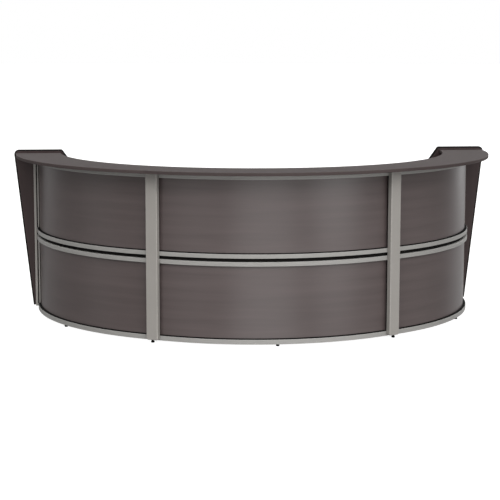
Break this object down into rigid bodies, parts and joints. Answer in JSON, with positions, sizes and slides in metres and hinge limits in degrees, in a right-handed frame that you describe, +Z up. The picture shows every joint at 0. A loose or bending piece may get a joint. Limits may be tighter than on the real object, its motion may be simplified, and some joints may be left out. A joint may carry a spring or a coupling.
{
  "type": "curved reception and checkout counter",
  "caption": "Semicircular checkout and reception counter: bent dark panels between silver rails and posts, a high transaction top, a lower work surface and end gables.",
  "frame": {"origin": "on the floor, below the middle of the bounding box, feet screwed in", "axes": "+Z up, -Y towards the customers in front of the curve, +Y towards the operator, +X to the right seen from the customers"},
  "size_m": [3.5824, 1.761, 1.204],
  "materials": {
    "counter_laminate": "dark grey-brown laminate board, soft satin sheen",
    "work_laminate": "dark grey-brown laminate board, soft satin sheen",
    "dark_skin": "thin bent laminate sheet, semi-gloss",
    "black_reveal": "matt black",
    "silver_rail": "satin silver anodised",
    "post_silver": "satin silver anodised",
    "column_dark": "matt black powder coat",
    "black_seal": "matt black rubber",
    "gable_laminate": "dark grey-brown laminate board",
    "edge_trim": "black edging, slightly soft sheen",
    "support_laminate": "dark grey-brown laminate board",
    "bracket_steel": "black powder coat",
    "foot_plastic": "black moulded plastic",
    "grommet_plastic": "black moulded plastic, fine texture",
    "dark_screw": "black oxide steel"
  },
  "bodies": {
    "station": {"bottom_rail_centre": "silver_rail", "bottom_rail_left": "silver_rail", "bottom_rail_right": "silver_rail", "counter_bracket_left": "bracket_steel", "counter_bracket_right": "bracket_steel", "counter_centre": "counter_laminate", "counter_left": "counter_laminate", "counter_right": "counter_laminate", "end_gable_left": "gable_laminate", "end_gable_right": "gable_laminate", "end_post_left": "post_silver", "end_post_right": "post_silver", "gable_trim_left": "edge_trim", "gable_trim_right": "edge_trim", "grommet_liner_centre": "grommet_plastic", "grommet_liner_left": "grommet_plastic", "grommet_liner_right": "grommet_plastic", "lower_mid_rail_centre": "silver_rail", "lower_mid_rail_left": "silver_rail", "lower_mid_rail_right": "silver_rail", "lower_skin_centre": "dark_skin", "lower_skin_left": "dark_skin", "lower_skin_right": "dark_skin", "post_column_left": "column_dark", "post_column_right": "column_dark", "post_cover_left": "post_silver", "post_cover_right": "post_silver", "reveal_strip_centre": "black_reveal", "reveal_strip_left": "black_reveal", "reveal_strip_right": "black_reveal", "skin_seals": "black_seal", "station_screws": "dark_screw", "support_panel_left": "support_laminate", "support_panel_right": "support_laminate", "top_rail_centre": "silver_rail", "top_rail_left": "silver_rail", "top_rail_right": "silver_rail", "upper_mid_rail_centre": "silver_rail", "upper_mid_rail_left": "silver_rail", "upper_mid_rail_right": "silver_rail", "upper_skin_centre": "dark_skin", "upper_skin_left": "dark_skin", "upper_skin_right": "dark_skin", "work_surface_centre": "work_laminate", "work_surface_left": "work_laminate", "work_surface_right": "work_laminate"},
    "gable_foot_left_inner": {"gable_foot_left_inner": "foot_plastic"},
    "gable_foot_left_outer": {"gable_foot_left_outer": "foot_plastic"},
    "gable_foot_right_inner": {"gable_foot_right_inner": "foot_plastic"},
    "gable_foot_right_outer": {"gable_foot_right_outer": "foot_plastic"},
    "grommet_cap_centre": {"grommet_cap_centre": "grommet_plastic"},
    "grommet_cap_left": {"grommet_cap_left": "grommet_plastic"},
    "grommet_cap_right": {"grommet_cap_right": "grommet_plastic"},
    "post_foot_left": {"post_foot_left": "foot_plastic"},
    "post_foot_right": {"post_foot_right": "foot_plastic"},
    "rail_foot_centre": {"rail_foot_centre": "foot_plastic"},
    "rail_foot_left": {"rail_foot_left": "foot_plastic"},
    "rail_foot_right": {"rail_foot_right": "foot_plastic"},
    "support_foot_left": {"support_foot_left": "foot_plastic"},
    "support_foot_right": {"support_foot_right": "foot_plastic"}
  },
  "joints": [
    {"name": "gable_foot_left_inner_screw", "type": "slide", "parent": "station", "child": "gable_foot_left_inner", "axis": [0, 0, -1], "range_m": [0, 0.015]},
    {"name": "gable_foot_left_outer_screw", "type": "slide", "parent": "station", "child": "gable_foot_left_outer", "axis": [0, 0, -1], "range_m": [0, 0.015]},
    {"name": "gable_foot_right_inner_screw", "type": "slide", "parent": "station", "child": "gable_foot_right_inner", "axis": [0, 0, -1], "range_m": [0, 0.015]},
    {"name": "gable_foot_right_outer_screw", "type": "slide", "parent": "station", "child": "gable_foot_right_outer", "axis": [0, 0, -1], "range_m": [0, 0.015]},
    {"name": "grommet_cap_centre_lift", "type": "slide", "parent": "station", "child": "grommet_cap_centre", "axis": [0, 0, 1], "range_m": [0, 0.03]},
    {"name": "grommet_cap_left_lift", "type": "slide", "parent": "station", "child": "grommet_cap_left", "axis": [0, 0, 1], "range_m": [0, 0.03]},
    {"name": "grommet_cap_right_lift", "type": "slide", "parent": "station", "child": "grommet_cap_right", "axis": [0, 0, 1], "range_m": [0, 0.03]},
    {"name": "post_foot_left_screw", "type": "slide", "parent": "station", "child": "post_foot_left", "axis": [0, 0, -1], "range_m": [0, 0.015]},
    {"name": "post_foot_right_screw", "type": "slide", "parent": "station", "child": "post_foot_right", "axis": [0, 0, -1], "range_m": [0, 0.015]},
    {"name": "rail_foot_centre_screw", "type": "slide", "parent": "station", "child": "rail_foot_centre", "axis": [0, 0, -1], "range_m": [0, 0.01]},
    {"name": "rail_foot_left_screw", "type": "slide", "parent": "station", "child": "rail_foot_left", "axis": [0, 0, -1], "range_m": [0, 0.01]},
    {"name": "rail_foot_right_screw", "type": "slide", "parent": "station", "child": "rail_foot_right", "axis": [0, 0, -1], "range_m": [0, 0.01]},
    {"name": "support_foot_left_screw", "type": "slide", "parent": "station", "child": "support_foot_left", "axis": [0, 0, -1], "range_m": [0, 0.015]},
    {"name": "support_foot_right_screw", "type": "slide", "parent": "station", "child": "support_foot_right", "axis": [0, 0, -1], "range_m": [0, 0.015]}
  ]
}
